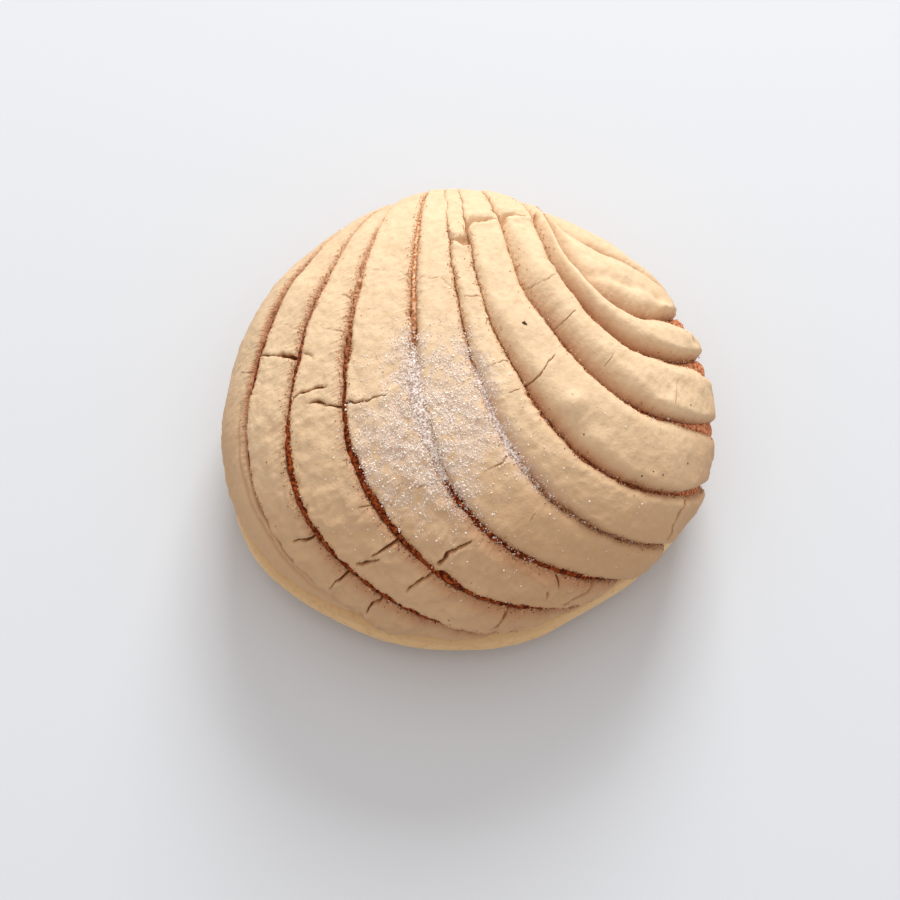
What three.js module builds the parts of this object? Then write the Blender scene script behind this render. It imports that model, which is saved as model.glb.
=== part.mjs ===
// A concha: a round sweet bun of yeast dough under a crust of sugar paste, scored like a scallop shell.
// The paste is rolled out as a flat disc, laid on the dough and cut into strips that part as the bun rises.
// Millimetres, +Z up. The bun stands on z = 0, and the shell's hinge, where the cuts meet, points to +Y.
import * as THREE from 'three';

// Bun: a superellipse dome over a belly that is cut off flat by the base.
const BUN_RADIUS = 54.2;
const BELLY_HEIGHT = 17;
const DOME_RISE = 30.8;
const DOME_POWER = 2.25;
const BELLY_DROP = 21;
const BELLY_POWER = 2.8;
const CROWN = new THREE.Vector2(-1.4, -0.6); // place of the crown in plan
const LOBES = [
  { count: 1, cos: 0.1, sin: -0.8 },
  { count: 2, cos: 1.4, sin: 0.2 },
  { count: 3, cos: 1, sin: -0.8 },
  { count: 4, cos: 0.4, sin: 0.3 },
  { count: 6, cos: -0.5, sin: -0.2 },
];
const BUN_SECTORS = 64;
const DOME_RINGS = 15;
const BARE_RINGS = 8;

// Paste disc, measured flat from the crown. Lifts are heights above the bun's surface.
const PASTE_RIM = 70;
const BED_LIFT = 0.3;
const BED_SPLITS = 3;
const LEAST_LIFT = 0.7; // of a strip's top, where it runs out to a thin edge
const STATION_PITCH = 3.8;
const CRACK_WIDTH = 1.4;
const EDGE_SHARE = 0.45; // most of a strip's width that one rounded edge takes
const SLOPE_SHARE = 0.5; // most of a strip's width that its left slope takes
const SHOULDER = 0.3; // share of an edge's radius at which it gets an extra line of points
const FRONT_STRIPS = 3; // strips that run out along the rim at the front

// Bare side of the bun, which swells out below the rim of the paste and reaches further up at the front left.
const BARE_START = PASTE_RIM + 0.6;
const BARE_SWELL = 3;
const SWELL_RUN = 4;
const BARE_BAND = 3.2; // how much further it reaches up there
const BAND_ANGLES = [[188, 214], [284, 304]]; // in degrees, between which the band rises and falls away
const BAND_RINGS = 2;

// Cuts of the shell pattern, from the left: rim angles in degrees at the hinge and at the far end, the
// two handles of the curve between them, the width that the cut has opened to, how much wider it is at the
// far rim, the share of its length that stays closed at the hinge, where only a shallow crease is left, and
// the share from which the paste has closed over it again.
const CUTS = [
  {
    hinge: 106, far: 250, lead: [-65, 0], trail: [-56, -26], opening: 1.5, notch: 0, closed: 0, healed: 0.58,
  },
  { hinge: 101.5, far: 283, lead: [-56, -10], trail: [-42, -54], opening: 1.5, notch: 0, closed: 0 },
  { hinge: 98.5, far: 305, lead: [-40, -3], trail: [-29, -60], opening: 1.5, notch: 0, closed: 0 },
  { hinge: 96, far: 315, lead: [-15, -7], trail: [-17, -49], opening: 1.2, notch: 0, closed: 0 },
  { hinge: 93.5, far: 328, lead: [-4, -2], trail: [6, -45], opening: 0.6, notch: 0.4, closed: 0.2 },
  { hinge: 91, far: 344, lead: [-1, 0], trail: [22, -41], opening: 0.5, notch: 0.8, closed: 0.2 },
  { hinge: 88, far: 357, lead: [13, 16], trail: [21, -22], opening: 0.5, notch: 1.8, closed: 0.1 },
  { hinge: 80, far: 371, lead: [24, 15], trail: [25, -7], opening: 0.5, notch: 4.4, closed: 0.06 },
  { hinge: 75, far: 383, lead: [25, 18], trail: [29, 3], opening: 0.5, notch: 4, closed: 0.04 },
  { hinge: 68, far: 387, lead: [8, 41], trail: [52, 26], opening: 0.6, notch: 0, closed: 0 },
];
const HINGE_GAP = 0.14; // opening of a cut where it stays closed
const HINGE_RUN = 0.35; // share of a cut's length over which it opens
const SLOW_RUN = 0.42; // the same for a cut that stays closed at the hinge
const HEALED_LOSS = 0.65; // how much of its opening a healed cut has lost
const HEALING_RUN = 0.1; // share of its length over which it heals, to each side
const HINGE_FLUSH = 0.5; // depth of the crease where a cut stays closed
const HINGE_CRISPNESS = 0.2; // share of an edge's radius that is left there
const HINGE_END = 1.5; // radius of the strips' hinge ends
const NOTCH_SHARE = 0.86; // share of a strip's length at which the notches start

// Strips from the left: thickness at the hinge where it differs, thickness, how much plumper the front half
// is, share of the thickness lost at a slim far end, height and radius of the left and right edges, how much
// the left edge is a slope rather than round, radius of the far end, shares of the left and right sides that
// the strip runs along, the share of the length at which it thins towards its far tip, and cracks as [share
// of the length, share of the width from, to, depth].
const ROOT_SHARES = [0.05, 0.35]; // between which a strip grows from its thickness at the hinge
const PLUMP_SHARES = [0.45, 0.7]; // between which a strip gets plumper
const SLIM_SHARES = [0.75, 0.98]; // between which a strip gets slimmer
const SLOPE_SHARES = [0.65, 0.85]; // between which a left slope gets narrower
const SLOPE_LOSS = 0.45; // how much narrower it gets
const TIP_THICK = 1.2;
const TIP_WALL = 0.2; // share of the edges' height that is left at a thinned tip
const TIP_SOFTENING = 3; // how much the left edge's radius grows towards a thinned tip
const ROLL_SHARES = [0.55, 0.8]; // between which the right edge of a plump strip gets rounder
const ROLL_SOFTENING = 2.4; // how much its radius grows
const STRIPS = [
  {
    thick: 1.9, walls: [0.5, 1.2], edges: [4, 1.5], end: 6, left: [0.05, 0.95], right: [0.05, 0.95],
    cracks: [[0.475, 0.6, 1, 1]],
  },
  {
    thick: 2, plump: 0.7, walls: [1.3, 1.6], edges: [1, 1.3], end: 4, left: [0, 0.97], right: [0, 0.99],
    thins: 0.82,
    cracks: [[0.392, 0, 1, 1.4], [0.651, 0.4, 1, 1], [0.726, 0.35, 1, 1], [0.785, 0.4, 1, 1]],
  },
  {
    thick: 2.1, plump: 0.8, walls: [1.3, 1.6], edges: [1, 1.3], end: 4, left: [0, 0.97], right: [0, 0.99],
    thins: 0.84,
    cracks: [
      [0.345, 0.2, 1, 0.5], [0.421, 0.1, 0.7, 1.2], [0.45, 0.4, 1, 1.2],
      [0.65, 0.2, 1, 1.3], [0.716, 0.4, 1, 1.3], [0.84, 0.25, 1, 1],
    ],
  },
  {
    thick: 2.4, plump: 0.6, walls: [1.3, 1.6], edges: [1, 1.5], end: 4, left: [0, 0.97], right: [0, 0.99],
    thins: 0.9,
    cracks: [
      [0.28, 0.3, 1, 0.5], [0.455, 0, 0.6, 1], [0.69, 0.1, 0.75, 1.2],
      [0.843, 0.4, 1, 0.6], [0.9, 0.2, 1, 1.2],
    ],
  },
  {
    thick: 3, walls: [0.7, 0.4], edges: [2.6, 3.4], end: 2.4, left: [0, 1], right: [0, 0.98],
    cracks: [[0.335, 0.2, 1, 0.5]],
  },
  {
    root: 3.1, thick: 3.3, walls: [0.6, 0.6], edges: [3.4, 3.2], sloped: 0.5, end: 2.4,
    left: [0, 0.98], right: [0, 1],
    cracks: [[0.272, 0.05, 0.95, 1.6], [0.378, 0.1, 0.9, 0.6], [0.92, 0.2, 0.9, 1]],
  },
  {
    root: 3.2, thick: 3.9, slims: 0.22, walls: [0.4, 0.6], edges: [5.2, 3.6], sloped: 0.8, end: 2.4,
    left: [0, 1], right: [0, 0.98],
    cracks: [[0.243, 0, 0.9, 1.8], [0.552, 0, 0.7, 0.9]],
  },
  {
    root: 3.3, thick: 4.5, slims: 0.22, walls: [0.3, 0.6], edges: [5.2, 3.8], sloped: 1, end: 2.4,
    left: [0, 0.97], right: [0, 0.98],
    cracks: [[0.257, 0, 0.7, 1.8], [0.45, 0, 0.4, 0.6], [0.54, 0, 0.6, 0.8]],
  },
  {
    root: 3.5, thick: 4.8, slims: 0.22, walls: [0.3, 0.5], edges: [5.2, 4], sloped: 1, end: 2.6,
    left: [0, 0.96], right: [0, 0.9],
    cracks: [[0.25, 0, 0.3, 1.4]],
  },
  {
    root: 3.3, thick: 4.2, slims: 0.22, walls: [0.3, 0.5], edges: [5.6, 4.5], sloped: 1, end: 2.6,
    left: [0, 0.91], right: [0, 0.905],
    cracks: [],
  },
  {
    root: 3.4, thick: 4, walls: [0.8, 0.3], edges: [3, 6], end: 4, left: [0.06, 0.95], right: [0.06, 0.95],
    cracks: [],
  },
];

const BUN_MATERIAL = new THREE.MeshStandardMaterial({ color: 0xb98d5c, roughness: 0.6, metalness: 0 });
const PASTE_MATERIAL = new THREE.MeshStandardMaterial({ color: 0xe3c298, roughness: 0.8, metalness: 0 });

// Plan radius of the bun's belly in a direction: a circle with a few low lobes.
function planRadius(angle) {
  const lobe = ({ count, cos, sin }) => cos * Math.cos(count * angle) + sin * Math.sin(count * angle);
  return LOBES.reduce((sum, row) => sum + lobe(row), BUN_RADIUS);
}

// Point of the bun's section at a tilt from the crown (0) past the belly (90 degrees), grown by a lift.
function sectionPoint(tilt, radius, lift) {
  const sine = Math.abs(Math.sin(tilt));
  const cosine = Math.abs(Math.cos(tilt));
  if (tilt <= Math.PI / 2) {
    const reach = (radius + lift) * sine ** (2 / DOME_POWER);
    return new THREE.Vector2(reach, BELLY_HEIGHT + (DOME_RISE + lift) * cosine ** (2 / DOME_POWER));
  }
  const reach = (radius + lift) * sine ** (2 / BELLY_POWER);
  return new THREE.Vector2(reach, Math.max(0, BELLY_HEIGHT - BELLY_DROP * cosine ** (2 / BELLY_POWER)));
}

// The tilt at which the belly's curve meets the base.
const BASE_TILT = Math.PI / 2 + Math.asin((BELLY_HEIGHT / BELLY_DROP) ** (BELLY_POWER / 2));

// Mean section from the crown to the base, whose arc length is the distance on the flat paste disc.
class Meridian extends THREE.Curve {
  getPoint(share) {
    return sectionPoint(share * BASE_TILT, BUN_RADIUS, 0);
  }
}
const MERIDIAN = new Meridian();
MERIDIAN.arcLengthDivisions = 2000;
const MERIDIAN_LENGTH = MERIDIAN.getLength();

// Lays a point of the flat disc on the bun, lifted above its surface.
function drape(flat, lift) {
  const angle = Math.atan2(flat.y, flat.x);
  const share = Math.min(1, flat.length() / MERIDIAN_LENGTH);
  const tilt = MERIDIAN.getUtoTmapping(share) * BASE_TILT;
  const point = sectionPoint(tilt, planRadius(angle), lift);
  return new THREE.Vector3(
    CROWN.x + point.x * Math.cos(angle),
    CROWN.y + point.x * Math.sin(angle),
    point.y,
  );
}

// Closed skin over a row of loops with equal counts of points; each end is a fan round the loop's mean.
function loft(loops) {
  const count = loops[0].length;
  const points = loops.flat();
  const corners = [];
  for (let row = 0; row + 1 < loops.length; row += 1) {
    for (let i = 0; i < count; i += 1) {
      const next = (i + 1) % count;
      const [a, b] = [row * count + i, row * count + next];
      corners.push(a, b, a + count, b, b + count, a + count);
    }
  }
  const closeEnd = (row, turn) => {
    const mean = loops[row].reduce((sum, point) => sum.add(point), new THREE.Vector3()).divideScalar(count);
    const hub = points.push(mean) - 1;
    for (let i = 0; i < count; i += 1) {
      const edge = [row * count + i, row * count + ((i + 1) % count)];
      corners.push(hub, edge[turn], edge[1 - turn]);
    }
  };
  closeEnd(0, 1);
  closeEnd(loops.length - 1, 0);
  const geometry = new THREE.BufferGeometry().setFromPoints(points);
  geometry.setIndex(corners);
  geometry.computeVertexNormals();
  return geometry;
}

// How much of the extra reach the bare side has at an angle round the bun, from 0 to 1.
function bandShare(degrees) {
  const [rise, fall] = BAND_ANGLES.map((angles) => THREE.MathUtils.smoothstep(degrees, ...angles));
  return rise * (1 - fall);
}

// The bun as rings from the base to the crown: its bare side, the band, then the dome that the paste covers.
function bunGeometry() {
  const ring = (run) => Array.from({ length: BUN_SECTORS }, (_, i) => {
    const angle = (2 * Math.PI * i) / BUN_SECTORS;
    const bare = run - BARE_START + BARE_BAND * bandShare(THREE.MathUtils.radToDeg(angle));
    const swell = BARE_SWELL * (1 - Math.exp(-Math.max(0, bare) / SWELL_RUN));
    return drape(new THREE.Vector2(run * Math.cos(angle), run * Math.sin(angle)), swell);
  });
  const bareRun = (_, i) => THREE.MathUtils.lerp(MERIDIAN_LENGTH, BARE_START, i / BARE_RINGS);
  const bandRun = (_, i) => BARE_START - (BARE_BAND * i) / BAND_RINGS;
  const domeRun = (_, i) => BARE_START * (1 - (i + 1) / DOME_RINGS);
  const runs = [
    ...Array.from({ length: BARE_RINGS }, bareRun),
    ...Array.from({ length: BAND_RINGS + 1 }, bandRun),
    ...Array.from({ length: DOME_RINGS - 1 }, domeRun),
  ];
  return loft(runs.map(ring));
}

// Point of the disc's rim at an angle in degrees, drawn in where the bare side reaches up.
function rimPoint(degrees) {
  const angle = THREE.MathUtils.degToRad(degrees);
  const reach = PASTE_RIM - BARE_BAND * bandShare(degrees);
  return new THREE.Vector2(reach * Math.cos(angle), reach * Math.sin(angle));
}

// One cut of the shell pattern on the flat disc.
function cutCurve({ hinge, far, lead, trail }) {
  const handles = [new THREE.Vector2(...lead), new THREE.Vector2(...trail)];
  return new THREE.CubicBezierCurve(rimPoint(hinge), ...handles, rimPoint(far));
}

// A stretch of the disc's rim between two angles in degrees.
class RimCurve extends THREE.Curve {
  constructor(from, to) {
    super();
    this.ends = [from, to];
  }

  getPoint(share) {
    return rimPoint(THREE.MathUtils.lerp(...this.ends, share));
  }
}

// A cut that goes on along the rim to the far end of the next cut, where a strip closes to a tip.
function cutAndRim(cut, next) {
  const path = new THREE.CurvePath();
  path.add(cutCurve(cut));
  path.add(new RimCurve(cut.far, next.far));
  return path;
}

// How far a cut is open at a share of its length, from 0 where it stays closed to 1.
function openness({ closed, healed = Infinity }, share) {
  const opened = THREE.MathUtils.smoothstep(share, closed, closed + (closed > 0 ? SLOW_RUN : HINGE_RUN));
  const lost = THREE.MathUtils.smoothstep(share, healed - HEALING_RUN, healed + HEALING_RUN);
  return opened * (1 - HEALED_LOSS * lost);
}

// Height of an edge at a distance from it, from 0 at the edge to 1 on the flat, round or more of a slope.
function roundedRise(distance, radius, sloped = 0) {
  const near = Math.min(1, Math.max(0, distance / radius));
  const round = Math.sqrt(1 - (1 - near) ** 2);
  return THREE.MathUtils.lerp(round, Math.sin((near * Math.PI) / 2), sloped);
}

// Distances along a strip at which it gets a section: even ones, closer at the ends and at cracks.
function stationRuns(length, { end, cracks }) {
  const steps = Math.round(length / STATION_PITCH);
  const even = Array.from({ length: steps - 1 }, (_, i) => ((i + 1) * length) / steps);
  const shoulder = end * SHOULDER;
  const crackRuns = cracks.map(([share]) => share * length);
  const clear = even.filter((run) => crackRuns.every((crack) => Math.abs(run - crack) > CRACK_WIDTH));
  const lips = crackRuns.flatMap((crack) => [crack - CRACK_WIDTH / 2, crack, crack + CRACK_WIDTH / 2]);
  return [0, shoulder, ...clear, ...lips, length - shoulder, length].sort((a, b) => a - b);
}

// How deep the cracks are at a place on a strip.
function crackDepth(cracks, length, run, across) {
  const depths = cracks.map(([share, from, to, depth]) => {
    const open = Math.max(0, 1 - Math.abs(run - share * length) / (CRACK_WIDTH / 2));
    return across >= from && across <= to ? depth * open : 0;
  });
  return Math.max(0, ...depths);
}

// How much of a strip's body is left at a share of its length, where it thins towards its far tip.
function remainingShare({ thins = 1 }, share) {
  return share <= thins ? 1 : (1 - share) / (1 - thins);
}

// Thickness of a strip: it grows from the hinge, gets plumper or slimmer, then thins to the far tip.
function thickness(form, share) {
  const { thick, root = thick, plump = 0, slims = 0 } = form;
  const grown = THREE.MathUtils.lerp(root, thick, THREE.MathUtils.smoothstep(share, ...ROOT_SHARES));
  const plumped = grown + plump * THREE.MathUtils.smoothstep(share, ...PLUMP_SHARES);
  const full = plumped * (1 - slims * THREE.MathUtils.smoothstep(share, ...SLIM_SHARES));
  return THREE.MathUtils.lerp(TIP_THICK, full, remainingShare(form, share));
}

// A strip of paste between two curves: a pillow with rounded edges, seen as a row of cross-sections.
function stripGeometry(leftCurve, rightCurve, cuts, form) {
  const length = (leftCurve.getLength() + rightCurve.getLength()) / 2;
  const side = (curve, [start, stop], share) => curve.getPointAt(start + (stop - start) * share);
  const section = (run) => {
    const share = run / length;
    const opened = cuts.map((cut) => openness(cut, share));
    const notched = THREE.MathUtils.smoothstep(share, NOTCH_SHARE, 1);
    const [leftGap, rightGap] = cuts.map(({ opening, notch }, i) => (
      THREE.MathUtils.lerp(Math.min(HINGE_GAP, opening), opening, opened[i]) + notch * notched
    ));
    const left = side(leftCurve, form.left, share);
    const right = side(rightCurve, form.right, share);
    const across = right.clone().sub(left).normalize();
    left.addScaledVector(across, leftGap / 2);
    right.addScaledVector(across, -rightGap / 2);
    const width = left.distanceTo(right);
    const thick = thickness(form, share);
    const thinned = 1 - remainingShare(form, share);
    const rolled = form.plump ? THREE.MathUtils.smoothstep(share, ...ROLL_SHARES) : 0;
    const softening = [TIP_SOFTENING * thinned, ROLL_SOFTENING * rolled];
    const slopes = [form.sloped ?? 0, 0];
    const radii = form.edges.map((edge, i) => {
      const radius = edge * THREE.MathUtils.lerp(HINGE_CRISPNESS, 1, opened[i]) + softening[i];
      const narrowing = SLOPE_LOSS * THREE.MathUtils.smoothstep(share, ...SLOPE_SHARES);
      return slopes[i] > 0 ? Math.min(radius * (1 - narrowing), width * SLOPE_SHARE) : radius;
    });
    const walls = form.walls.map((height, i) => {
      const wall = height * THREE.MathUtils.lerp(1, TIP_WALL, thinned);
      return wall + Math.max(0, thick - HINGE_FLUSH - wall) * (1 - opened[i]);
    });
    const endRise = Math.min(roundedRise(run, HINGE_END), roundedRise(length - run, form.end));
    const lay = (distance, lift) => drape(left.clone().addScaledVector(across, distance), lift);
    const topPoint = (distance) => {
      const lifts = [distance, width - distance].map((away, i) => {
        const rise = roundedRise(away, radii[i], slopes[i]) * endRise;
        return walls[i] * Math.sqrt(endRise) + Math.max(0, thick - walls[i]) * rise;
      });
      const crack = crackDepth(form.cracks, length, run, distance / width);
      return lay(distance, Math.max(LEAST_LIFT, Math.min(...lifts) - crack));
    };
    const [leftEdge, rightEdge] = radii.map((radius) => Math.min(radius, width * EDGE_SHARE));
    const crest = (leftEdge + width - rightEdge) / 2;
    const rightStops = [width, width - rightEdge * SHOULDER, width - rightEdge];
    const leftStops = [leftEdge, leftEdge * SHOULDER, 0];
    const bed = Array.from({ length: BED_SPLITS + 1 }, (_, i) => lay((width * i) / BED_SPLITS, BED_LIFT));
    return [...bed, ...[...rightStops, crest, ...leftStops].map(topPoint)];
  };
  return loft(stationRuns(length, form).map(section));
}

function namedMesh(name, geometry, material) {
  const mesh = new THREE.Mesh(geometry, material);
  mesh.name = name;
  return mesh;
}

// All strips. Each lies between two cuts, the first and last reach to the rim, and those that
// run out along the front of the rim have their left side drawn on along it.
function pasteStrips() {
  const last = CUTS.length - 1;
  const cuts = CUTS.map(cutCurve);
  const leftSides = [
    new RimCurve(CUTS[0].hinge, CUTS[0].far),
    ...cuts.map((curve, i) => (i < FRONT_STRIPS ? cutAndRim(CUTS[i], CUTS[i + 1]) : curve)),
  ];
  const rightSides = [...cuts, new RimCurve(CUTS[last].hinge, CUTS[last].far - 360)];
  const rim = { opening: 0, notch: 0, closed: -1 };
  const bounds = [rim, ...CUTS, rim];
  return STRIPS.map((form, i) => {
    const geometry = stripGeometry(leftSides[i], rightSides[i], bounds.slice(i, i + 2), form);
    return namedMesh(`paste_strip_${String(i + 1).padStart(2, '0')}`, geometry, PASTE_MATERIAL);
  });
}

const concha = new THREE.Group();
concha.add(namedMesh('bun', bunGeometry(), BUN_MATERIAL), ...pasteStrips());

export default concha;
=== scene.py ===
import bpy
import numpy as np
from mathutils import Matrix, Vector


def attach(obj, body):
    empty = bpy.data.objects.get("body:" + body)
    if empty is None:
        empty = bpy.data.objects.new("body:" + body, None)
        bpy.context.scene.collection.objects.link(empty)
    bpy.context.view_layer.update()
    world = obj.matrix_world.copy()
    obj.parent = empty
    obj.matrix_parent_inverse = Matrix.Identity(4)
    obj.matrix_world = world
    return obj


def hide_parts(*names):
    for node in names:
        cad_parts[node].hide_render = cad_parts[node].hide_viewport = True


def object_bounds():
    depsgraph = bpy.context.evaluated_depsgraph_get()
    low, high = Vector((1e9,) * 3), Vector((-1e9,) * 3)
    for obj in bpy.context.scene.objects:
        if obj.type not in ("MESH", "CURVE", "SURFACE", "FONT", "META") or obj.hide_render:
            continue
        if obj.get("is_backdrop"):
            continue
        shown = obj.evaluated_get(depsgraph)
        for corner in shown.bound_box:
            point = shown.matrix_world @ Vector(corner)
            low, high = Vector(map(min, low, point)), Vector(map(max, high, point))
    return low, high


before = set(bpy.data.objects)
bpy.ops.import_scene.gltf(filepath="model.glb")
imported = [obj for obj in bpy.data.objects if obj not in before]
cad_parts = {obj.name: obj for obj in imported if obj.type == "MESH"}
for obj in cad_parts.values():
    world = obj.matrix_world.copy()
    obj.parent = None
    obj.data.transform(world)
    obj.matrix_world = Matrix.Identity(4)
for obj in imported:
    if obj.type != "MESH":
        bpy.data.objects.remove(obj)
cad_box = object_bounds()


# Bun: a ball of yeast dough that rose on a baking sheet to a dome with a flat base. The skin baked
# golden on the bare side, and red-brown and crumbly in the cuts, where the risen dough parted the paste.
# The paste is measured in mm on its flat disc, from the crown, and drape() lays such a place on the dome.
MM = 0.001
BUN_RADIUS = 54.2
DOME_RISE = 30.8
DOME_POWER = 2.25
BELLY_HEIGHT = 17
BELLY_DROP = 21
BELLY_POWER = 2.8
CROWN = np.array([-1.4, -0.6])
SECTION_STEPS = 4001
# Waves of the bun's outline, each as (count, cosine, sine).
LOBES = [(1, 0.1, -0.8), (2, 1.4, 0.2), (3, 1.0, -0.8), (4, 0.4, 0.3), (6, -0.5, -0.2)]


def section_point(tilt, radius, lift):
    """Reach and height of the bun's section at a tilt from the crown, grown by a lift."""
    sine, cosine = np.abs(np.sin(tilt)), np.abs(np.cos(tilt))
    power = np.where(tilt <= np.pi / 2, 2 / DOME_POWER, 2 / BELLY_POWER)
    rise = np.where(tilt <= np.pi / 2, DOME_RISE + lift, -BELLY_DROP)
    height = BELLY_HEIGHT + rise * cosine**power
    return (radius + lift) * sine**power, np.maximum(height, 0)


BASE_TILT = np.pi / 2 + np.arcsin((BELLY_HEIGHT / BELLY_DROP) ** (BELLY_POWER / 2))
tilt_steps = np.linspace(0, BASE_TILT, SECTION_STEPS)
reach_steps, height_steps = section_point(tilt_steps, BUN_RADIUS, 0)
run_steps = np.concatenate([[0], np.cumsum(np.hypot(np.diff(reach_steps), np.diff(height_steps)))])
base_run = run_steps[-1]


def drape(flat, lift):
    """Lays places of the flat paste disc on the dome, lifted above its skin; all in mm."""
    angle = np.arctan2(flat[..., 1], flat[..., 0])
    lobes = sum(cosine * np.cos(n * angle) + sine * np.sin(n * angle) for n, cosine, sine in LOBES)
    tilt = np.interp(np.hypot(flat[..., 0], flat[..., 1]), run_steps, tilt_steps)
    reach, height = section_point(tilt, BUN_RADIUS + lobes, lift)
    return np.stack([CROWN[0] + reach * np.cos(angle), CROWN[1] + reach * np.sin(angle), height], -1)


def lumps(place, size, seed):
    """Smooth random swellings about one size in mm across, from -1 to 1, at 2-D or 3-D places."""
    cell = place / size + 31.7 * seed
    corner = np.floor(cell).astype(np.int64)
    part = cell - corner
    ease = part * part * (3 - 2 * part)
    total = np.zeros(place.shape[:-1])
    for step in np.ndindex(*(2,) * place.shape[-1]):
        key = (corner + step) @ np.array([73856093, 19349663, 83492791])[: place.shape[-1]] + seed * 7919
        key = (key ^ (key >> 13)) * 1274126177 & 0x7FFFFFFF
        key = (key ^ (key >> 15)) * 668265263 & 0x7FFFFFFF
        height = (key >> 7 & 0xFFFF) / 32767.5 - 1
        total += height * np.prod(np.where(step, ease, 1 - ease), axis=-1)
    return total


def relief(place, rows, seed=0):
    """Swellings of several sizes added up, each as (height in mm, size in mm, seed of its own)."""
    return sum(height * lumps(place, size, seed + own) for height, size, own in rows)


def smooth(low, high, value):
    """Eases from 0 at low to 1 at high."""
    share = np.clip((value - low) / (high - low), 0, 1)
    return share * share * (3 - 2 * share)


def loft(name, loops, marks):
    """A closed skin over rows of loops in mm, with named marks on its points for the material."""
    rows, count = loops.shape[:2]
    here = np.arange(rows * count).reshape(rows, count)
    after = np.roll(here, -1, axis=1)
    quads = np.stack([here[:-1], after[:-1], after[1:], here[1:]], -1).reshape(-1, 4)
    points = np.concatenate([loops.reshape(-1, 3), loops[[0, -1]].mean(axis=1)])
    hubs = np.full((2, count), rows * count) + [[0], [1]]
    fans = np.concatenate([
        np.stack([hubs[0], after[0], here[0]], -1),
        np.stack([hubs[1], here[-1], after[-1]], -1),
    ])
    mesh = bpy.data.meshes.new(name)
    mesh.from_pydata((points * MM).tolist(), [], quads.tolist() + fans.tolist())
    for mark, values in marks.items():
        ends = values[[0, -1]].mean(axis=1)
        both = np.concatenate([values.ravel(), ends]).astype(np.float32)
        mesh.attributes.new(mark, "FLOAT", "POINT").data.foreach_set("value", both)
    mesh.shade_smooth()
    piece = bpy.data.objects.new(name, mesh)
    bpy.context.scene.collection.objects.link(piece)
    return piece


# The paste ends at its rim, under which the bare side swells out. Along the front left the bare side reaches
# higher, as a band with a low fold. In the cuts the dough is torn, which fades towards the rim.
PASTE_RIM = 70
BARE_GAP = 0.6
BARE_START = PASTE_RIM + BARE_GAP
BARE_BAND = 3.2
BAND_ANGLES = [(188, 214), (284, 304)]
BARE_SWELL = 3
SWELL_RUN = 4
SWELL_UNEVEN = 0.16
SWELL_SIZE = 17
BAND_FOLD = 0.5
FOLD_CREST = 2
FOLD_GROOVE = 4
FOLD_HALF = 0.9
TORN_RELIEF = [(0.55, 1.5, 4), (0.45, 0.8, 5)]
TORN_HEIGHT = 0.45
TORN_FADE = 0.45
TORN_FADE_RUN = (54, 64)
SKIN_RELIEF = [(0.25, 9, 6), (0.1, 3.2, 7), (0.05, 1.3, 8)]
BASE_DENTS = 0.12
BASE_MIDDLE = 0.02
BUN_SECTORS = 400
DOME_PITCH = 0.8
BARE_PITCH = 0.6
BASE_RINGS = 12


def band(angle):
    """How far the bare side reaches up at angles round the bun, from 0 to 1, along the front left."""
    turn = np.degrees(angle) % 360
    return smooth(*BAND_ANGLES[0], turn) * (1 - smooth(*BAND_ANGLES[1], turn))


def bun_loops():
    """Rings of the bun from the middle of the base to the crown, with the marks for its crust."""
    runs = np.concatenate([
        np.arange(base_run, BARE_START, -BARE_PITCH),
        np.arange(BARE_START, DOME_PITCH, -DOME_PITCH),
    ])
    angle = np.linspace(0, 2 * np.pi, BUN_SECTORS, endpoint=False)
    flat = runs[:, None, None] * np.stack([np.cos(angle), np.sin(angle)], -1)
    plain = drape(flat, np.zeros(flat.shape[:2]))
    below = runs[:, None] - BARE_START + BARE_BAND * band(angle)
    cut = 1 - smooth(-0.5, 2.5 - 2 * band(angle), below)
    bare = np.maximum(0, below)
    swell = BARE_SWELL * (1 - np.exp(-bare / SWELL_RUN)) * (1 + SWELL_UNEVEN * lumps(plain, SWELL_SIZE, 3))
    crest, groove = (np.exp(-(((bare - middle) / FOLD_HALF) ** 2)) for middle in (FOLD_CREST, FOLD_GROOVE))
    swell = swell + BAND_FOLD * band(angle) * (crest - groove)
    crumb = relief(plain, TORN_RELIEF)
    side = drape(flat, swell + cut * TORN_HEIGHT * crumb + (1 - cut) * relief(plain, SKIN_RELIEF))
    shares = np.linspace(BASE_MIDDLE, 1, BASE_RINGS, endpoint=False)[:, None, None]
    middle = np.array([*CROWN, 0])
    base = middle + (side[0] - middle) * shares
    base[..., 2] = BASE_DENTS * smooth(0.1, 0.9, lumps(base, 6, 8)) * (1 - shares[..., 0])
    still = np.zeros(base.shape[:2])
    marks = {
        "cut": np.concatenate([still, cut * (1 - TORN_FADE * smooth(*TORN_FADE_RUN, runs)[:, None])]),
        "crumb": np.concatenate([still, crumb]),
    }
    return np.concatenate([base, side]), marks


def linear(code):
    """An sRGB hex colour as the linear colour that a shader takes."""
    parts = [int(code[i : i + 2], 16) / 255 for i in (0, 2, 4)]
    return [*(p / 12.92 if p <= 0.04045 else ((p + 0.055) / 1.055) ** 2.4 for p in parts), 1]


def wire(tree, node, inputs):
    """Sets the sockets of a node, or links them to other sockets."""
    for socket, value in inputs.items():
        if isinstance(value, bpy.types.NodeSocket):
            tree.links.new(value, node.inputs[socket])
        else:
            node.inputs[socket].default_value = value


def add(tree, kind, inputs=None, **settings):
    """Adds a node, gives it its settings, and sets or links its sockets."""
    made = tree.nodes.new("ShaderNode" + kind)
    for name, value in settings.items():
        setattr(made, name, value)
    wire(tree, made, inputs or {})
    return made


def blank(name):
    """A new material with its node tree, its surface, and places on the piece in metres."""
    material = bpy.data.materials.new(name)
    material.use_nodes = True
    tree = material.node_tree
    return material, tree, tree.nodes["Principled BSDF"], add(tree, "TexCoord").outputs["Object"]


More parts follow.
